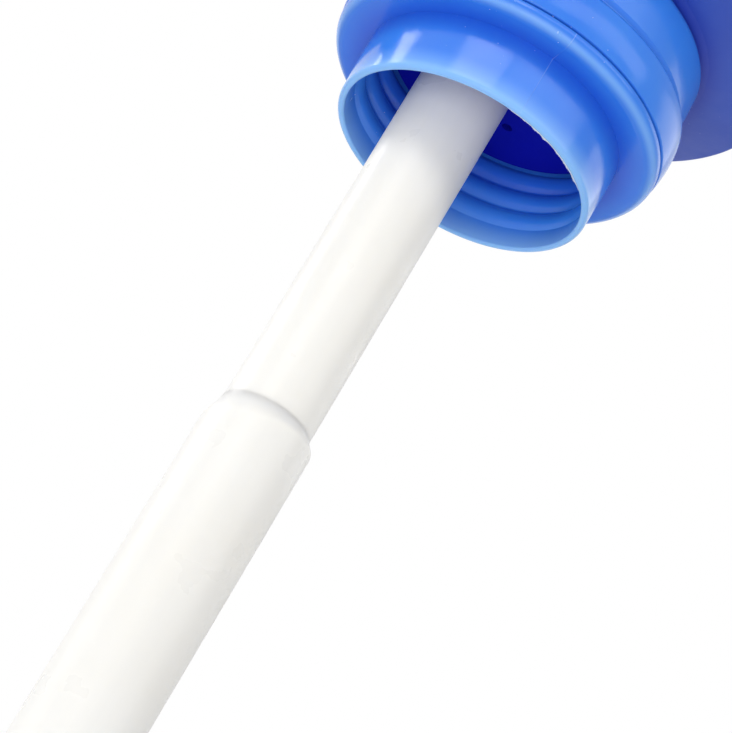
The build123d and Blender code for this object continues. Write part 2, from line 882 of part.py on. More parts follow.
with BuildPart() as press_cap:
    with BuildSketch(Plane.XZ) as profile:
        with BuildLine():
            Line((0, ceiling_z), (0, cap_top))
            ThreePointArc(
                (0, cap_top),
                (cap_radius / 2, dome_z(cap_radius / 2, cap_top)),
                (cap_radius, crown_edge_z),
            )
            Polyline(
                (cap_radius, crown_edge_z),
                (cap_radius, cap_bottom),
                (cap_radius - cap_wall, cap_bottom),
                (cap_radius - cap_wall, ceiling_edge_z),
                (ring_outer, ceiling_ring_z),
                (ring_outer, ring_bottom),
                (ring_inner, ring_bottom),
                (ring_inner, bellows_top + fit),
                (ring_inner - ring_lip, bellows_top + fit),
                (ring_inner - ring_lip, ceiling_z),
                (0, ceiling_z),
            )
        make_face()
        fillet(corner(profile, cap_radius, crown_edge_z), crown_round)
        fillet(corner(profile, cap_radius, cap_bottom), cap_hem_round)
    revolve(axis=pump_axis)
    # recess for the palm pad
    with BuildSketch(Plane.XY.offset(pad_recess_z)):
        Circle(pad_radius)
    extrude(amount=cap_top, mode=Mode.SUBTRACT)
    # screw bosses down to the plate, with pilot holes
    with BuildSketch(Plane.XY.offset(plate_top)):
        with PolarLocations(screw_circle, screw_count, start_angle=first_screw):
            Circle(boss_radius)
    extrude(amount=ceiling_z - plate_top)
    with BuildSketch(Plane.XY.offset(plate_top)):
        with PolarLocations(screw_circle, screw_count, start_angle=first_screw):
            Circle(pilot_radius)
    extrude(amount=pilot_depth, mode=Mode.SUBTRACT)
    # breather holes from under the skirt to the space over the plate
    for breather in range(breather_count):
        angle = first_breather + 360 * breather / breather_count
        outwards = Vector(1, 0, 0).rotate(Axis.Z, angle)
        with BuildSketch(Plane(origin=(0, 0, breather_z), z_dir=outwards)):
            Circle(breather_radius)
        extrude(amount=breather_reach, mode=Mode.SUBTRACT)
press_cap.part.label = "press_cap"
export_step(press_cap.part, "parts/press_cap.step")

# soft pad let into the crown, with shallow grip rings
pad_top_z = 135.6
pad_outer = pad_radius - 0.1
pad_edge_z = dome_z(pad_outer, pad_top_z)
pad_round = 0.6
grip_rings = (9.0, 15.0, 21.0, 27.0)
grip_radius = 0.5

with BuildPart() as palm_pad:
    with BuildSketch(Plane.XZ) as profile:
        with BuildLine():
            Polyline(
                (0, pad_top_z),
                (0, pad_recess_z),
                (pad_outer, pad_recess_z),
                (pad_outer, pad_edge_z),
            )
            ThreePointArc(
                (pad_outer, pad_edge_z),
                (pad_outer / 2, dome_z(pad_outer / 2, pad_top_z)),
                (0, pad_top_z),
            )
        make_face()
        fillet(corner(profile, pad_outer, pad_edge_z), pad_round)
        for ring_radius in grip_rings:
            with Locations((ring_radius, dome_z(ring_radius, pad_top_z))):
                Circle(grip_radius, mode=Mode.SUBTRACT)
    revolve(axis=pump_axis)
palm_pad.part.label = "palm_pad"
export_step(palm_pad.part, "parts/palm_pad.step")

# ---------------------------------------------------------------- cap plate, stem and screws
plate_rim = top_neck_in - fit
plate_rim_wall = 2.0
plate_outer = ring_inner - ring_lip - 2 * fit
stem_outer = guide_inner - fit
stem_wall = 1.6
stem_chamfer = 0.4
stem_socket = stem_outer + 2.1
stem_top = 126.0
screw_hole = 1.6

with BuildPart() as cap_plate:
    with BuildSketch(Plane.XZ):
        with BuildLine():
            Polyline(
                (stem_outer, plate_bottom),
                (plate_rim - plate_rim_wall, plate_bottom),
                (plate_rim - plate_rim_wall, ring_bottom),
                (plate_rim, ring_bottom),
                (plate_rim, bellows_top),
                (plate_outer, bellows_top),
                (plate_outer, plate_top),
                (stem_socket, plate_top),
                (stem_socket, stem_top),
                (stem_outer, stem_top),
                close=True,
            )
        make_face()
    revolve(axis=pump_axis)
    with BuildSketch(Plane.XY.offset(plate_bottom)):
        with PolarLocations(screw_circle, screw_count, start_angle=first_screw):
            Circle(screw_hole)
        with Locations((0, inlet_valve_y)):
            Circle(valve_hole)
            with PolarLocations(air_hole_circle, 6):
                Circle(air_hole)
    extrude(amount=plate_top - plate_bottom, mode=Mode.SUBTRACT)
cap_plate.part.label = "cap_plate"
export_step(cap_plate.part, "parts/cap_plate.step")

with BuildPart() as guide_stem:
    with BuildSketch(Plane.XY.offset(stem_bottom)):
        Circle(stem_outer)
        Circle(stem_outer - stem_wall, mode=Mode.SUBTRACT)
    extrude(amount=stem_top - stem_bottom)
    chamfer(guide_stem.edges().group_by(Axis.Z)[0], stem_chamfer)
guide_stem.part.label = "guide_stem"
export_step(guide_stem.part, "parts/guide_stem.step")

screw_head = 2.8
screw_head_height = 1.8
thread_fit = 0.02
thread_length = 7.5
recess_length = 3.0
recess_width = 0.7
recess_depth = 0.9

with BuildPart() as cap_screws:
    with BuildSketch(Plane.XY.offset(plate_bottom - screw_head_height)):
        with PolarLocations(screw_circle, screw_count, start_angle=first_screw):
            Circle(screw_head)
    extrude(amount=screw_head_height)
    with BuildSketch(Plane.XY.offset(plate_bottom)):
        with PolarLocations(screw_circle, screw_count, start_angle=first_screw):
            Circle(pilot_radius - thread_fit)
    extrude(amount=thread_length)
    with BuildSketch(Plane.XY.offset(plate_bottom - screw_head_height)):
        with PolarLocations(screw_circle, screw_count, start_angle=first_screw):
            Rectangle(recess_length, recess_width)
            Rectangle(recess_width, recess_length)
    extrude(amount=recess_depth, mode=Mode.SUBTRACT)
cap_screws.part.label = "cap_screws"
export_step(cap_screws.part, "parts/cap_screws.step")
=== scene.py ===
"""Looks of the hand-press bottle pump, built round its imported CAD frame.

Shapes are worked out in millimetres and become metres when their mesh is made. The origin is the
centre of the collar's mouth, +Z runs up the pump's axis and +X towards the spout.
"""

import json
import math
import random

import bmesh
import bpy
from mathutils import Matrix, Vector, noise

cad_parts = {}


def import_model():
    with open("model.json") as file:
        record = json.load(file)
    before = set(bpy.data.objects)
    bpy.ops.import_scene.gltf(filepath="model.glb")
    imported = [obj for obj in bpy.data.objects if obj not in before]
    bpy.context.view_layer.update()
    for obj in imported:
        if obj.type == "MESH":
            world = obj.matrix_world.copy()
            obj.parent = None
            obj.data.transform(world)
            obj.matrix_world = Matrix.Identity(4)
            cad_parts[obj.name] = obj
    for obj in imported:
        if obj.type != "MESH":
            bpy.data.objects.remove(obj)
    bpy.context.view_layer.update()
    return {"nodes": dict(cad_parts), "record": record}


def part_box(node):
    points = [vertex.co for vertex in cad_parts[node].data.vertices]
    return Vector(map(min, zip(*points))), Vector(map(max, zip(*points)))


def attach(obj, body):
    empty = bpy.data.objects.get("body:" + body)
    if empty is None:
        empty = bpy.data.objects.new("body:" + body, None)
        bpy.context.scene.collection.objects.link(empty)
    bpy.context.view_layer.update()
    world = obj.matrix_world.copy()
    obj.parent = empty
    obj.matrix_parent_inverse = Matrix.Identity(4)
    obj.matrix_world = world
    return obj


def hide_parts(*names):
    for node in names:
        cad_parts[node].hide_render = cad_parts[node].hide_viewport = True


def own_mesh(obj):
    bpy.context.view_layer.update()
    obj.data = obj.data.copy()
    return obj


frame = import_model()

MM = 0.001
FULL_TURN = 2 * math.pi


# ---------------------------------------------------------------- places taken from the frame
def node_box(name):
    """Lowest and highest corner of a CAD node, in millimetres."""
    low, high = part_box(name)
    return low / MM, high / MM


collar_low, collar_high = node_box("neck_collar")
bellows_low, bellows_high = node_box("bellows")
spring_low, spring_high = node_box("return_spring")
vent_low, vent_high = node_box("vent_spring")
upper_low, upper_high = node_box("upper_tube")
middle_low, middle_high = node_box("middle_tube")
lower_low, lower_high = node_box("lower_tube")
foot_low, _ = node_box("tube_foot")

tube_x = (upper_low.x + upper_high.x) / 2
bellows_crest = (bellows_high.x - bellows_low.x) / 2


# ---------------------------------------------------------------- node materials
# sockets of the Mix node when it mixes colours
MIX_FACTOR, MIX_FIRST, MIX_SECOND, MIX_RESULT = 0, 6, 7, 2


class Tree:
    """A material's node tree, with one call per node."""

    def __init__(self, name):
        self.material = bpy.data.materials.new(name)
        self.material.use_nodes = True
        self.nodes = self.material.node_tree.nodes
        self.links = self.material.node_tree.links
        self.nodes.clear()
        self.place = self.add("ShaderNodeTexCoord").outputs["Object"]

    def add(self, kind, inputs=None, **settings):
        """Node of a kind, with its inputs linked or set and its properties set."""
        node = self.nodes.new(kind)
        for key, value in settings.items():
            setattr(node, key, value)
        for key, value in (inputs or {}).items():
            if isinstance(value, bpy.types.NodeSocket):
                self.links.new(value, node.inputs[key])
            else:
                node.inputs[key].default_value = value
        return node

    def noise(self, scale, detail=2.0, roughness=0.5, stretch=None):
        """Noise with a scale in features per metre, and a stretch along X, Y and Z."""
        where = self.place
        if stretch:
            mapping = self.add("ShaderNodeMapping", {"Vector": where, "Scale": stretch})
            where = mapping.outputs["Vector"]
        node = self.add(
            "ShaderNodeTexNoise",
            {"Vector": where, "Scale": scale, "Detail": detail, "Roughness": roughness},
        )
        return node.outputs["Fac"]

    def remap(self, value, low, high, to_low, to_high, **settings):
        """value carried from the range low to high over to the range to_low to to_high."""
        inputs = {
            "Value": value, "From Min": low, "From Max": high, "To Min": to_low, "To Max": to_high,
        }
        return self.add("ShaderNodeMapRange", inputs, **settings).outputs["Result"]

    def times(self, first, second):
        return self.add("ShaderNodeMath", {0: first, 1: second}, operation="MULTIPLY").outputs[0]

    def larger(self, first, second):
        return self.add("ShaderNodeMath", {0: first, 1: second}, operation="MAXIMUM").outputs[0]

    def blend(self, share, first, second):
        """Colour between first and second."""
        first, second = (
            colour if isinstance(colour, bpy.types.NodeSocket) else (*colour, 1)
            for colour in (first, second)
        )
        inputs = {MIX_FACTOR: share, MIX_FIRST: first, MIX_SECOND: second}
        return self.add("ShaderNodeMix", inputs, data_type="RGBA").outputs[MIX_RESULT]

    def spots(self, scale, size, share, detail_scale=23.0):
        """1 in small round spots, on a share of the cells of a lattice."""
        cell = self.add(
            "ShaderNodeTexVoronoi", {"Vector": self.place, "Scale": scale, "Randomness": 1.0}
        )
        near = self.remap(cell.outputs["Distance"], size * 0.7, size, 1.0, 0.0)
        patch = self.remap(self.noise(detail_scale, 2.0), 0.62 - share, 0.66 - share, 0.0, 1.0)
        return self.times(near, patch)

    def near_ring(self, r, z, reach, share):
        """share at a ring about Z, fading to 0 at reach from it. r, z and reach are in mm."""
        parts = self.add("ShaderNodeSeparateXYZ", {"Vector": self.place}).outputs
        flat = self.add("ShaderNodeCombineXYZ", {"X": parts["X"], "Y": parts["Y"]}).outputs[0]
        radius = self.add("ShaderNodeVectorMath", {0: flat}, operation="LENGTH").outputs["Value"]
        spot = self.add("ShaderNodeCombineXYZ", {"X": radius, "Y": parts["Z"]}).outputs[0]
        apart = self.add(
            "ShaderNodeVectorMath", {0: spot, 1: (r * MM, z * MM, 0)}, operation="DISTANCE"
        ).outputs["Value"]
        return self.remap(apart, 0.0, reach * MM, share, 0.0, interpolation_type="SMOOTHSTEP")

    def seam(self, angle):
        """1 along the upright plane through Z at an angle in degrees."""
        across = Vector((-math.sin(math.radians(angle)), math.cos(math.radians(angle)), 0))
        off = self.add("ShaderNodeVectorMath", {0: self.place, 1: across}, operation="DOT_PRODUCT")
        off = self.add("ShaderNodeMath", {0: off.outputs["Value"]}, operation="ABSOLUTE").outputs[0]
        return self.remap(off, 0.4 * seam_highlight_half_width * MM, seam_highlight_half_width * MM, 1.0, 0.0)

    def bump(self, height, depth_mm, strength, before=None):
        """Normal of a relief depth_mm deep, laid over the relief before."""
        inputs = {"Height": height, "Distance": depth_mm * MM, "Strength": strength}
        if before:
            inputs["Normal"] = before
        return self.add("ShaderNodeBump", inputs).outputs["Normal"]

    def finish(self, constants, **linked):
        """Principled shader with constants on its own sockets, and the named sockets linked."""
        shader = self.add("ShaderNodeBsdfPrincipled", constants)
        for key, socket in linked.items():
            self.links.new(socket, shader.inputs[key.replace("_", " ").title()])
        output = self.add("ShaderNodeOutputMaterial")
        self.links.new(shader.outputs["BSDF"], output.inputs["Surface"])
        return self.material


seam_highlight_half_width = 0.14  # half width of the painted highlight along the mould's seam
# pale colour of the painted highlight along the mould's seam
seam_highlight_colour = (0.42, 0.58, 0.95)
dust_colour = (0.62, 0.72, 0.92)
# pale colour of painted light: light through thin edges, and the flange's painted highlight
painted_light_colour = (0.24, 0.50, 0.92)
painted_corner_shade = (0.4, 0.48, 0.85)  # share of each colour channel left in painted shade, in corners and recesses


def moulded_plastic(
    name, colour, deep, pale, gloss, translucency, orange_peel=0.35, specks=0.05,
    seam_angle=None, corner_shade=None, painted_light_rings=(),
):
    """Injection-moulded plastic: mottled colour, orange peel, fine rubs, and pale nicks and dust.

    seam_angle, in degrees round Z, adds a painted highlight along the seam of the mould's two
    halves.
    The argument after it is the (r, z, reach, share) of a ring of painted shade in a corner or
    recess, and each ring in the last argument is one of painted light, in millimetres: light that
    would come through a thin edge, or a painted highlight on a rounded edge.
    """
    tree = Tree(name)
    mottle = tree.remap(tree.noise(28.0, 3.0), 0.35, 0.65, 0.0, 1.0)
    flow = tree.remap(tree.noise(60.0, 4.0, 0.6, (1.0, 1.0, 0.25)), 0.4, 0.7, 0.0, 0.35)
    body = tree.blend(mottle, colour, deep)
    body = tree.blend(flow, body, pale)
    nicks = tree.times(
        tree.remap(tree.noise(620.0, 2.0, 0.5, (1.0, 1.0, 0.3)), 0.74, 0.77, 0.0, 1.0),
        tree.remap(tree.noise(37.0, 1.0), 0.56, 0.66, 0.0, 1.0),
    )
    dust = tree.larger(tree.spots(420.0, 0.06, specks), nicks)
    body = tree.blend(tree.times(dust, 0.5), body, dust_colour)
    # painted shade: a deeper colour in a corner or recess, where shade falls
    if corner_shade:
        shaded = tuple(left * channel for left, channel in zip(painted_corner_shade, colour))
        body = tree.blend(tree.near_ring(*corner_shade), body, shaded)
    # painted light: paler where light would come through a thin edge, and painted highlights
    for edge in painted_light_rings:
        body = tree.blend(tree.near_ring(*edge), body, painted_light_colour)
    # painted highlight along the mould's seam, broken up in places
    if seam_angle is not None:
        broken = tree.remap(tree.noise(90.0, 3.0), 0.46, 0.64, 0.03, 0.36)
        body = tree.blend(tree.times(tree.seam(seam_angle), broken), body, seam_highlight_colour)
    smudge = tree.remap(tree.noise(95.0, 4.0, 0.62), 0.35, 0.7, gloss - 0.05, gloss + 0.09)
    rough = tree.larger(smudge, tree.times(dust, 0.7))
    normal = tree.bump(tree.noise(330.0, 2.0), 0.05, orange_peel)
    rubs = tree.remap(tree.noise(75.0, 5.0, 0.7, (1.0, 9.0, 14.0)), 0.6, 0.75, 0.0, 1.0)
    normal = tree.bump(rubs, 0.012, 0.25, normal)
    normal = tree.bump(dust, 0.05, 0.5, normal)
    constants = {
        "IOR": 1.5,
        "Subsurface Weight": translucency,
        "Subsurface Radius": (0.35, 0.7, 1.6),
        "Subsurface Scale": 1.2 * MM,
    }
    return tree.finish(constants, base_color=body, roughness=rough, normal=normal)


def milky_tube(name):
    """Extruded milky tube: faint draw lines along its length, warm and cool drifts, dark flecks."""
    tree = Tree(name)
    drift = tree.remap(tree.noise(14.0, 3.0), 0.35, 0.65, 0.0, 1.0)
    body = tree.blend(drift, (0.86, 0.85, 0.82), (0.82, 0.80, 0.745))
    lines = tree.remap(tree.noise(260.0, 3.0, 0.6, (1.0, 1.0, 0.012)), 0.4, 0.7, 0.0, 0.3)
    body = tree.blend(lines, body, (0.79, 0.78, 0.75))
    flecks = tree.spots(120.0, 0.045, 0.02, 19.0)
    body = tree.blend(tree.times(flecks, 0.75), body, (0.12, 0.11, 0.10))
    rough = tree.remap(tree.noise(80.0, 4.0), 0.35, 0.7, 0.27, 0.42)
    normal = tree.bump(tree.noise(260.0, 2.0, 0.5, (1.0, 1.0, 0.02)), 0.02, 0.3)
    normal = tree.bump(tree.noise(190.0, 3.0), 0.02, 0.25, normal)
    constants = {
        "IOR": 1.49,
        "Subsurface Weight": 0.45,
        "Subsurface Radius": (1.0, 0.95, 0.85),
        "Subsurface Scale": 3.0 * MM,
    }
    return tree.finish(constants, base_color=body, roughness=rough, normal=normal)


def soft_rubber(name, colour, worn, gloss=0.62, specular=0.5, lint_share=0.35):
    """Silicone or soft rubber: matt, finely pitted, paler where it is handled, with lint on it."""
    tree = Tree(name)
    wear = tree.remap(tree.noise(55.0, 5.0, 0.65), 0.45, 0.75, 0.0, 0.8)
    body = tree.blend(wear, colour, worn)
    lint = tree.spots(280.0, 0.06, 0.08)
    body = tree.blend(tree.times(lint, lint_share), body, (0.6, 0.6, 0.62))
    rough = tree.remap(tree.noise(140.0, 3.0), 0.3, 0.7, gloss - 0.08, gloss + 0.1)
    normal = tree.bump(tree.noise(1400.0, 3.0, 0.6), 0.04, 0.5)
    constants = {"IOR": 1.42, "Specular IOR Level": specular}
    return tree.finish(constants, base_color=body, roughness=rough, normal=normal)


def drawn_steel(name):
    """Spring and screw steel: drawing lines, dull patches and a slight straw tint."""
    tree = Tree(name)
    tint = tree.remap(tree.noise(120.0, 3.0), 0.4, 0.7, 0.0, 1.0)
    body = tree.blend(tint, (0.60, 0.61, 0.63), (0.50, 0.47, 0.43))
    rough = tree.remap(tree.noise(500.0, 4.0, 0.6), 0.3, 0.7, 0.22, 0.4)
    normal = tree.bump(tree.noise(1800.0, 2.0, 0.5, (1.0, 1.0, 0.2)), 0.01, 0.3)
    return tree.finish({"Metallic": 1.0}, base_color=body, roughness=rough, normal=normal)


front_seam = 101.0  # angle of the mould's seam towards the camera, in degrees round Z
# (r, z, reach, share) of rings of painted light: light through the thin lip and mouth, and a
# highlight on the flange's edge
lip_light_ring = (30.2, 0.2, 2.4, 1.0)
mouth_light_ring = (28.6, 0.0, 7.0, 0.85)
flange_highlight_ring = (39.6, 16.2, 1.7, 0.6)

shell_looks = {
    "colour": (0.036, 0.215, 0.78), "deep": (0.032, 0.190, 0.75), "pale": (0.058, 0.255, 0.81),
    "gloss": 0.16, "translucency": 0.22,
}
blue_shell = moulded_plastic("blue_shell_plastic", **shell_looks)
# The collar's colour carries painted shade in the corner under its flange, painted light at its
# thin lip and mouth, and painted highlights on the flange's edge and along the seam.
collar_plastic = moulded_plastic(
    "collar_plastic", **shell_looks, seam_angle=front_seam, corner_shade=(30.8, 17.2, 8.4, 0.9),
    painted_light_rings=[lip_light_ring, mouth_light_ring, flange_highlight_ring],
)
# The bellows carry painted shade at their waist, in the recess where they meet the housing.
blue_bellows = moulded_plastic(
    "blue_bellows_plastic", (0.033, 0.088, 0.47), (0.029, 0.076, 0.43), (0.046, 0.11, 0.50),
    gloss=0.44, translucency=0.15, orange_peel=0.6, corner_shade=(37.0, 46.2, 7.0, 1.0),
)
white_plastic = moulded_plastic(
    "white_moulded_plastic", (0.86, 0.86, 0.84), (0.82, 0.82, 0.80), (0.88, 0.88, 0.87),
    gloss=0.26, translucency=0.3, specks=0.03,
)
inner_plastic = moulded_plastic(
    "natural_inner_plastic", (0.66, 0.68, 0.70), (0.60, 0.62, 0.65), (0.72, 0.73, 0.74),
    gloss=0.42, translucency=0.3, specks=0.03,
)
tube_plastic = milky_tube("milky_tube_plastic")
# Dark navy is the seals' own colour, made this dark as painted shade for the deep, shaded floor of
# the collar that the gasket covers.
seal_silicone = soft_rubber(
    "seal_silicone", (0.002, 0.005, 0.36), (0.003, 0.007, 0.42),
    gloss=0.8, specular=0.10, lint_share=0.02,
)
pad_rubber = soft_rubber("pad_rubber", (0.028, 0.060, 0.30), (0.045, 0.085, 0.36))
spring_steel = drawn_steel("spring_steel")

finishes = {
    "blue_shell": blue_shell,
    "blue_bellows": blue_bellows,
    "white_plastic": white_plastic,
    "inner_plastic": inner_plastic,
    "tube_plastic": tube_plastic,
    "seal_silicone": seal_silicone,
    "pad_rubber": pad_rubber,
    "spring_steel": spring_steel,
}
slot_of = {part["node"]: part["material_slot"] for part in frame["record"]["subparts"]}

for node_name, cad_object in frame["nodes"].items():
    if not cad_object.material_slots:
        cad_object.data.materials.append(None)
    for material_slot in cad_object.material_slots:
        material_slot.material = finishes[slot_of[node_name]]


# ---------------------------------------------------------------- turned shapes
weld_distance = 1e-7  # in metres
sharp_angle = 38.0  # in degrees


def rounded(outline, step_mm=0.25):
    """Closed outline of (r, z, radius) corners, as (r, z) points with each corner made an arc."""
    points = []
    count = len(outline)
    for index, (r, z, radius) in enumerate(outline):
        here = Vector((r, z))
        if not radius:
            points.append((r, z))
            continue
        back = (Vector(outline[index - 1][:2]) - here).normalized()
        ahead = (Vector(outline[(index + 1) % count][:2]) - here).normalized()
        half = back.angle(ahead) / 2
        centre = here + (back + ahead).normalized() * (radius / math.sin(half))
        start = here + back * (radius / math.tan(half)) - centre
        end = here + ahead * (radius / math.tan(half)) - centre
        steps = max(4, round(radius * (math.pi - 2 * half) / step_mm))
        for step in range(steps + 1):
            spoke = start.lerp(end, step / steps).normalized() * radius
            points.append(tuple(centre + spoke))
    return points


def turn_angles(steps, fine=()):
    """Angles of a full turn, with extra ones across each (centre, half width, count) in degrees."""
    angles = {round(360 * step / steps, 4) for step in range(steps)}
    for centre, half_width, count in fine:
        for step in range(count + 1):
            angles.add(round((centre - half_width + 2 * half_width * step / count) % 360, 4))
    return [math.radians(angle) for angle in sorted(angles)]


def turned(name, section, angles, body, slot, replaced=(), centre_x=0.0):
    """Solid of revolution about an upright axis. section(angle) gives its closed outline in mm."""
    rings = [section(angle) for angle in angles]
    count = len(rings[0])
    verts = []
    for angle, ring in zip(angles, rings):
        for r, z in ring:
            verts.append(((centre_x + r * math.cos(angle)) * MM, r * math.sin(angle) * MM, z * MM))
    faces = []
    for turn in range(len(angles)):
        here = turn * count
        there = ((turn + 1) % len(angles)) * count
        for index in range(count):
            following = (index + 1) % count
            faces.append((here + index, here + following, there + following, there + index))
    return make_piece(name, verts, faces, body, slot, replaced)


def ring_faces(sides, index):
    """Faces between ring number index and the next, in a row of rings with that many sides."""
    here = sides * index
    faces = []
    for side in range(sides):
        after = (side + 1) % sides
        faces.append((here + side, here + after, here + sides + after, here + sides + side))
    return faces


def make_piece(name, verts, faces, body, slot, replaced=()):
    """Mesh object with welded vertices, outward normals, smooth shading and its slot's finish."""
    mesh = bpy.data.meshes.new(name)
    mesh.from_pydata(verts, [], faces)
    bm = bmesh.new()
    bm.from_mesh(mesh)
    bmesh.ops.remove_doubles(bm, verts=bm.verts, dist=weld_distance)
    bmesh.ops.recalc_face_normals(bm, faces=bm.faces)
    bm.to_mesh(mesh)
    bm.free()
    mesh.shade_smooth()
    mesh.set_sharp_from_angle(angle=math.radians(sharp_angle))
    piece = bpy.data.objects.new(name, mesh)
    bpy.context.scene.collection.objects.link(piece)
    piece.data.materials.append(finishes[slot])
    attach(piece, body)
    if replaced:
        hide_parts(*replaced)
    return piece


def weighted_normals(piece):
    """Keep large faces flat where they meet a small round."""
    modifier = piece.modifiers.new("flat_faces", "WEIGHTED_NORMAL")
    modifier.keep_sharp = True
    modifier.weight = 50
    return piece


# ---------------------------------------------------------------- collar
neck_bore = 29.3
neck_outer = 31.0
rib_crest = 28.1
rib_heights = (8.1, 13.6, 19.1)
rib_half_width = 2.6
rib_crest_half_width = 1.1
rib_root_round = 0.3
rib_crest_round = 2.8
swell_z = 6.0
swell_round = 30.0
shoulder_z = 15.3
shoulder_round = 2.8
flange_radius = collar_high.x
groove_z = 19.2
spigot_outer = 37.0
spigot_inner = 34.8
flange_top = 17.6
inner_wall_outer = neck_outer + 0.3
seam_angles = (front_seam, front_seam + 180)
seam_half_width = 0.12  # in degrees
seam_height = 0.07
collar_wander = 0.10


def ease(share):
    """Smooth step from 0 to 1."""
    share = min(1.0, max(0.0, share))
    return share * share * (3 - 2 * share)


def drift(angle, seed, size, speed=1.0):
    """Slow wander round a turned piece, so that it is not a perfect circle."""
    where = Vector((math.cos(angle) * speed, math.sin(angle) * speed, seed))
    return size * noise.noise(where)


collar_corners = [
    (neck_bore, collar_low.z, 0.55),
    (neck_outer, collar_low.z, 1.0),
    (neck_outer + 0.18, swell_z, swell_round),
    (neck_outer + 0.4, shoulder_z + 0.5, 0),
    (flange_radius, shoulder_z + 0.1, shoulder_round),
    (flange_radius - 0.1, groove_z, 0.5),
    (spigot_outer, groove_z, 0),
    (spigot_outer, collar_high.z, 0),
    (spigot_inner, collar_high.z, 0),
    (spigot_inner, flange_top, 0),
    (inner_wall_outer, flange_top, 0),
    (inner_wall_outer, collar_high.z, 0),
    (neck_bore, collar_high.z, 0),
]
for rib_z in reversed(rib_heights):
    collar_corners += [
        (neck_bore, rib_z + rib_half_width, rib_root_round),
        (rib_crest, rib_z + rib_crest_half_width, rib_crest_round),
        (rib_crest, rib_z - rib_crest_half_width, rib_crest_round),
        (neck_bore, rib_z - rib_half_width, rib_root_round),
    ]
collar_points = rounded(collar_corners)


def is_outer(r, z):
    """True on the collar's outside, up to the groove."""
    return z < groove_z - 0.2 and r > neck_bore + 0.9


def collar_section(angle):
    """The collar's outline with its mould seams, and slightly out of round."""
    degrees = math.degrees(angle)
    seam = 0.0
    for seam_angle in seam_angles:
        off = abs((degrees - seam_angle + 180) % 360 - 180) / seam_half_width
        seam = max(seam, 1 - min(1.0, off))
    ring = []
    for r, z in collar_points:
        wander = drift(angle, z * 0.02, collar_wander)
        if is_outer(r, z):
            if r < neck_outer + 1.2:
                wander += seam * seam_height
            else:
                z -= seam * seam_height
        if z < shoulder_z:
            r += wander
        ring.append((r, z))
    return ring


collar = weighted_normals(
    turned(
        "collar_shell", collar_section,
        turn_angles(300, [(seam_angle, 0.4, 10) for seam_angle in seam_angles]),
        "housing", "blue_shell", ["neck_collar"],
    )
)
collar.data.materials[0] = collar_plastic

# ---------------------------------------------------------------- flash inside the lip
flash_from = 94.0
flash_to = 150.0
flash_step = 0.35
flash_least = 0.28
flash_growth = 1.6


def lip_flash():
    """Thin torn skin of plastic left along the lip's inner edge, on one side."""
    rng = random.Random(7)
    count = round((flash_to - flash_from) / flash_step)
    inner = []
    tear = 0.0
    for index in range(count + 1):
        share = index / count
        fade = ease(share * 9) * ease((1 - share) * 7)
        patch = max(0.0, noise.noise(Vector((share * 11, 3.1, 0))) + 0.12)
        tear = 0.55 * tear + 0.45 * rng.random()
        inner.append(fade * (flash_least + flash_growth * patch * tear))
    verts = []
    for index, reach in enumerate(inner):
        angle = math.radians(flash_from + flash_step * index)
        for r, z in (
            (neck_bore + 0.15, collar_low.z + 0.55),
            (neck_bore + 0.05, collar_low.z + 0.22),
            (neck_bore - reach, collar_low.z + 0.26 + 0.2 * rng.random() * reach),
            (neck_bore - reach * 0.9, collar_low.z + 0.34),
        ):
            verts.append((r * math.cos(angle) * MM, r * math.sin(angle) * MM, z * MM))
    faces = []
    for index in range(count):
        faces += ring_faces(4, index)
    faces += [(3, 2, 1, 0), tuple(4 * count + side for side in range(4))]
    return make_piece("lip_flash", verts, faces, "housing", "blue_shell")


torn_plastic = moulded_plastic(
    "torn_pale_plastic", (0.66, 0.74, 0.92), (0.48, 0.62, 0.90), (0.9, 0.93, 0.97), 0.4, 0.3
)
flash = lip_flash()
flash.data.materials[0] = torn_plastic

# ---------------------------------------------------------------- bellows
pleat_pitch = 13.0
pleat_count = 5
first_crest_z = 51.0
crest_half_height = 0.85
crest_round = 1.1
pleat_root = 43.5
waist_z = 45.8
neck_radius = 36.0
bellows_wall = 1.3
top_neck = 43.1


def bellows_outline():
    """Closed outline of the bellows: pleated outside, then the same pleats back inside."""
    last_crest_z = first_crest_z + (pleat_count - 1) * pleat_pitch
    outside = [
        (neck_radius, bellows_low.z, 0),
        (neck_radius, waist_z - 0.6, 0.8),
        (neck_radius + 3.4, waist_z + 0.7, 2.4),
    ]
    inside = [
        (neck_radius - bellows_wall, bellows_low.z, 0),
        (neck_radius - bellows_wall, waist_z + 0.6, 0.8),
        (neck_radius + 2.6, waist_z + 2.2, 2.0),
    ]
    for pleat in range(pleat_count):
        crest_z = first_crest_z + pleat * pleat_pitch
        outside.append((bellows_crest, crest_z - crest_half_height, crest_round))
        outside.append((bellows_crest, crest_z + crest_half_height, crest_round))
        inside.append((bellows_crest - 1.9, crest_z, 0.6))
        if pleat < pleat_count - 1:
            outside.append((pleat_root, crest_z + pleat_pitch / 2, 1.0))
            inside.append((pleat_root - bellows_wall - 0.2, crest_z + pleat_pitch / 2, 1.6))
    outside += [(top_neck, last_crest_z + 7.0, 1.0), (top_neck, bellows_high.z, 0)]
    inside += [
        (top_neck - bellows_wall, last_crest_z + 6.4, 1.0),
        (top_neck - bellows_wall, bellows_high.z, 0),
    ]
    return rounded(outside + inside[::-1], 0.3)


bellows_points = bellows_outline()


def bellows_section(angle):
    """Blow-moulded pleats wander a little, more at their crests."""
    ring = []
    for r, z in bellows_points:
        loose = ease((r - pleat_root) / (bellows_crest - pleat_root))
        out = drift(angle, z * 0.05, 0.35) * loose
        up = drift(angle, z * 0.05 + 9, 0.5, 1.6) * loose
        ring.append((r + out, z + up))
    return ring


bellows = turned(
    "bellows_skin", bellows_section, turn_angles(220), "housing", "blue_bellows", ["bellows"]
)
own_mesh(bellows)

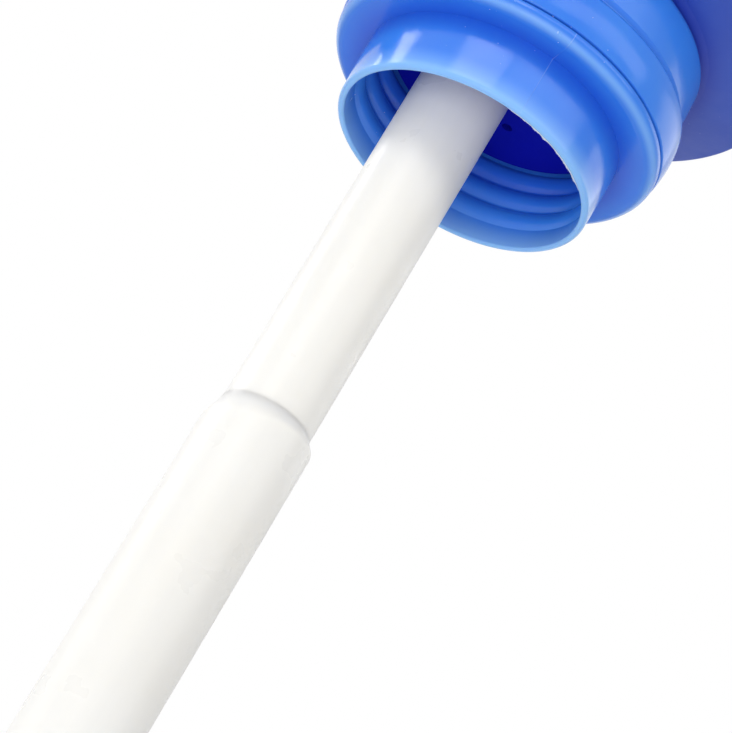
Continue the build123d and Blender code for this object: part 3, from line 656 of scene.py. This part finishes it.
# ---------------------------------------------------------------- telescoping tube
upper_outer = 10.5
middle_outer = 12.4
lower_outer = 14.3
upper_wall = 1.5
wide_wall = 1.4  # of the middle and lower tubes
upper_bead = 10.93
middle_bead = 12.83
grip_clearance = 0.06
neck_length = 5.4
neck_lean = 2.0
neck_steps = 22
throat_foot = 6.2
throat_start = 5.0
throat_end = 0.1
bead_slope = 8.6
bead_top = 8.0
ring_groove_top = 4.7
ring_groove_foot = 3.3
ring_groove_wall = 0.7


def tube_outline(top, bottom, outer, wall, throat, bead, lean):
    """Outline of one tube at one side: necked in at its top to grip, beaded at its foot to seal."""
    inner = outer - wall
    if throat is None:
        corners = [(inner, top, 0.3), (outer, top, 0.4), (outer, top - 3, 0), (inner, top - 3, 0)]
        points = rounded(corners)[:-2]
    else:
        length = neck_length + lean
        points = [
            (inner, top - throat_foot), (throat, top - throat_start), (throat, top - throat_end),
        ]
        for step in range(neck_steps + 1):
            share = step / neck_steps
            r = throat + 0.1 + (outer - throat - 0.1) * ease(share)
            points.append((r, top - length * share))
    if bead is None:
        return points + [(outer, bottom), (inner, bottom)]
    return points + [
        (outer, bottom + bead_slope),
        (bead, bottom + bead_top),
        (bead, bottom + ring_groove_top),
        (inner + ring_groove_wall, bottom + ring_groove_top),
        (inner + ring_groove_wall, bottom + ring_groove_foot),
        (bead, bottom + ring_groove_foot),
        (bead, bottom),
        (inner, bottom),
    ]


tubes = {
    "upper": (upper_low, upper_high, upper_outer, upper_wall, None, upper_bead, "housing"),
    "middle": (
        middle_low, middle_high, middle_outer, wide_wall, upper_outer + grip_clearance,
        middle_bead, "middle_tube",
    ),
    "lower": (
        lower_low, lower_high, lower_outer, wide_wall, middle_outer + grip_clearance,
        None, "lower_tube",
    ),
}
for seed, (tube_name, spec) in enumerate(tubes.items()):
    low, high, outer, wall, throat, bead, body = spec

    def tube_section(angle):
        lean = neck_lean * math.cos(angle) + drift(angle, seed + 2.5, 0.5, 1.5)
        return tube_outline(high.z, low.z, outer, wall, throat, bead, lean)

    tube = turned(
        f"{tube_name}_tube_skin", tube_section, turn_angles(192), body, "tube_plastic",
        [f"{tube_name}_tube"], tube_x,
    )
    weighted_normals(tube)


# ---------------------------------------------------------------- coil springs
coil_steps = 44  # rings in a turn
wire_sides = 14
closed_rise = 0.9  # rise of the one closed turn at each end, in wire radii


def coil(name, replaced, axis, start, end, radius, wire, turns):
    """Wire coil from start to end, with one turn closed up at each end. axis is "y" or "z"."""
    total = turns + 2
    length = end - start - 2 * wire
    free = length - 2 * closed_rise * wire
    verts = []
    count = total * coil_steps + 1
    for index in range(count):
        turn = index / coil_steps
        if turn < 1:
            along = wire * closed_rise * turn
        elif turn > total - 1:
            along = length - wire * closed_rise * (total - turn)
        else:
            along = wire * closed_rise + free * (turn - 1) / turns
        angle = FULL_TURN * turn
        spoke = Vector((math.cos(angle), math.sin(angle), 0))
        for side in range(wire_sides):
            round_wire = FULL_TURN * side / wire_sides
            point = spoke * (radius + wire * math.cos(round_wire))
            point.z = start + wire + along + wire * math.sin(round_wire)
            verts.append(point)
    faces = []
    for index in range(count - 1):
        faces += ring_faces(wire_sides, index)
    last = (count - 1) * wire_sides
    faces += [tuple(range(wire_sides))[::-1], tuple(range(last, last + wire_sides))]
    if axis == "y":
        centre_x = (vent_low.x + vent_high.x) / 2
        centre_z = (vent_low.z + vent_high.z) / 2
        verts = [Vector((centre_x + v.x, v.z, centre_z - v.y)) for v in verts]
    return make_piece(name, [v * MM for v in verts], faces, "housing", "spring_steel", [replaced])


return_coil = coil(
    "return_coil", "return_spring", "z", spring_low.z - 0.05, spring_high.z + 0.05,
    radius=11.5, wire=0.8, turns=7,
)
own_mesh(return_coil)
vent_coil = coil(
    "vent_coil", "vent_spring", "y", vent_low.y, vent_high.y, radius=3.1, wire=0.3, turns=3
)
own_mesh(vent_coil)


# ---------------------------------------------------------------- floor, light and camera
floor_z = foot_low.z * MM
floor_gap = 0.0005  # in metres, like the other sizes of the room
floor_radius = 4.0
dim_side = (-0.77, 0.64, 0.0)
dim_range = (-0.45, 0.75)  # cosines of the angle from dim_side at which dimming starts and ends
dim_share = 0.5
panel_elevation = 28
panel_height = 0.40
panel_distance = 1.4


def floor():
    """Plain pale floor: a disc large enough to pass out of every view. It casts no shadow."""
    mesh = bpy.data.meshes.new("floor")
    bm = bmesh.new()
    bmesh.ops.create_circle(bm, cap_ends=True, segments=96, radius=floor_radius)
    bm.to_mesh(mesh)
    bm.free()
    disc = bpy.data.objects.new("floor", mesh)
    disc.location = (0, 0, floor_z - floor_gap)
    bpy.context.scene.collection.objects.link(disc)
    tree = Tree("pale_floor")
    cloud = tree.remap(tree.noise(1.5, 2.0), 0.3, 0.7, 0.0, 1.0)
    body = tree.blend(cloud, (0.62, 0.62, 0.63), (0.66, 0.66, 0.67))
    grain = tree.remap(tree.noise(300.0, 2.0), 0.3, 0.7, 0.6, 0.7)
    disc.data.materials.append(tree.finish({"IOR": 1.3}, base_color=body, roughness=grain))
    disc.visible_shadow = False


def world():
    """Plain white surroundings, softly dimmer in front and to the right of the picture."""
    surroundings = bpy.data.worlds.new("white_surroundings")
    surroundings.use_nodes = True
    nodes, links = surroundings.node_tree.nodes, surroundings.node_tree.links
    where = nodes.new("ShaderNodeTexCoord")
    side = nodes.new("ShaderNodeVectorMath")
    side.operation = "DOT_PRODUCT"
    side.inputs[1].default_value = dim_side
    fade = nodes.new("ShaderNodeMapRange")
    fade.interpolation_type = "SMOOTHSTEP"
    fade.inputs["From Min"].default_value, fade.inputs["From Max"].default_value = dim_range
    fade.inputs["To Min"].default_value = 1.0
    fade.inputs["To Max"].default_value = dim_share
    links.new(where.outputs["Generated"], side.inputs[0])
    links.new(side.outputs["Value"], fade.inputs["Value"])
    links.new(fade.outputs["Result"], nodes["Background"].inputs["Strength"])
    nodes["Background"].inputs["Color"].default_value = (1, 1, 1, 1)
    bpy.context.scene.world = surroundings


def direction(azimuth, elevation):
    """Unit vector at an azimuth from +X towards +Y and an elevation, in degrees."""
    around, above = math.radians(azimuth), math.radians(elevation)
    level = math.cos(above)
    return Vector((math.cos(around) * level, math.sin(around) * level, math.sin(above)))


def bounce(azimuth, elevation, irradiance, spread_deg):
    """Wide soft light from a direction, such as light thrown back by a pale table."""
    light = bpy.data.lights.new("bounce", "SUN")
    light.energy = irradiance
    light.angle = math.radians(spread_deg)
    lamp = bpy.data.objects.new("bounce", light)
    lamp.rotation_euler = direction(azimuth, elevation).to_track_quat("Z", "Y").to_euler()
    bpy.context.scene.collection.objects.link(lamp)


def softbox(name, azimuth, width, radiance):
    """Soft light panel that faces the collar. Azimuth is from +X towards +Y, in degrees."""
    light = bpy.data.lights.new(name, "AREA")
    light.shape = "RECTANGLE"
    light.size = width
    light.size_y = panel_height
    light.energy = radiance * math.pi * width * panel_height
    lamp = bpy.data.objects.new(name, light)
    towards = direction(azimuth, panel_elevation)
    lamp.location = towards * panel_distance
    lamp.rotation_euler = towards.to_track_quat("Z", "Y").to_euler()
    bpy.context.scene.collection.objects.link(lamp)


def camera():
    """Camera that looks up at the collar's mouth from in front, rolled so the pump leans right."""
    aim = Vector((-5.1, 0, -56.1)) * MM
    distance = 0.7965
    elevation = math.radians(-27.28)
    roll = math.radians(-30.63)
    focal_px = 3700.0
    image_height = 733
    data = bpy.data.cameras.new("camera")
    data.sensor_width = 36.0
    data.lens = focal_px * data.sensor_width / image_height
    data.clip_start = 0.01
    view = bpy.data.objects.new("camera", data)
    forward = Vector((0, -math.cos(elevation), -math.sin(elevation)))
    level_right = Vector((-1, 0, 0))
    level_up = level_right.cross(forward)
    right = level_right * math.cos(roll) - level_up * math.sin(roll)
    up = right.cross(forward)
    turn = Matrix((right, up, -forward)).transposed()
    view.matrix_world = Matrix.Translation(aim - forward * distance) @ turn.to_4x4()
    bpy.context.scene.collection.objects.link(view)
    bpy.context.scene.camera = view


floor()
world()
bounce(azimuth=86, elevation=-34, irradiance=1.4, spread_deg=46)
softbox("left_box", azimuth=-15, width=0.66, radiance=4.0)
softbox("front_box", azimuth=64, width=0.86, radiance=2.9)
softbox("right_box", azimuth=210, width=1.0, radiance=1.0)
softbox("broad_box", azimuth=124, width=1.9, radiance=1.4)
camera()
bpy.context.scene.view_settings.view_transform = "Standard"
